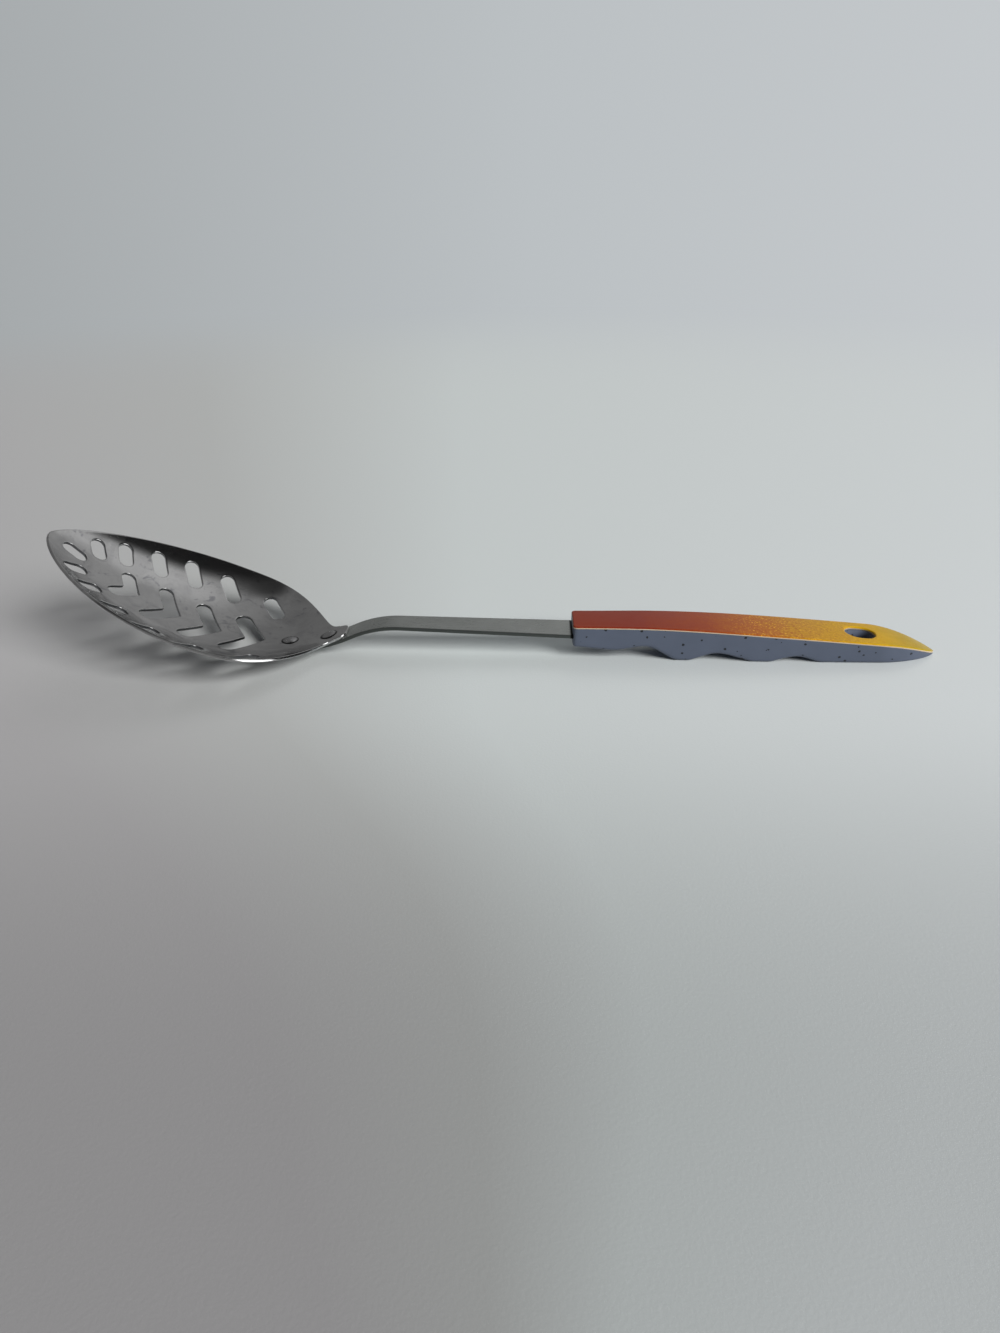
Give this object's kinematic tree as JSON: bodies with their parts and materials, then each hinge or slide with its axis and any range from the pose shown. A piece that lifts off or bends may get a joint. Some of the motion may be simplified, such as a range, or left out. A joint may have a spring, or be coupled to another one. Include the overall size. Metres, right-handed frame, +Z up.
{
  "type": "slotted serving spoon",
  "caption": "Long slotted serving spoon: pressed steel bowl riveted to a flat shank, two-tone plastic grip with finger scallops and a hanging hole.",
  "frame": {"origin": "centre of the footprint on the table plane, with the spoon lying as it rests on its own", "axes": "+X from the bowl's tip to the end of the grip, +Y across the spoon, +Z up from the table"},
  "size_m": [0.3401, 0.0764, 0.0494],
  "materials": {
    "bowl_steel": "satin polished sheet",
    "rivet_steel": "polished domes",
    "shank_steel": "satin strip",
    "grip_plastic": "slate blue with sparse dark specks",
    "cap_plastic": "brick red at the front, amber and yellow towards the end, mottled"
  },
  "bodies": {
    "root": {"bowl": "bowl_steel", "front_rivet": "rivet_steel", "rear_rivet": "rivet_steel", "shank": "shank_steel", "grip_body": "grip_plastic", "grip_cap": "cap_plastic"}
  },
  "joints": []
}
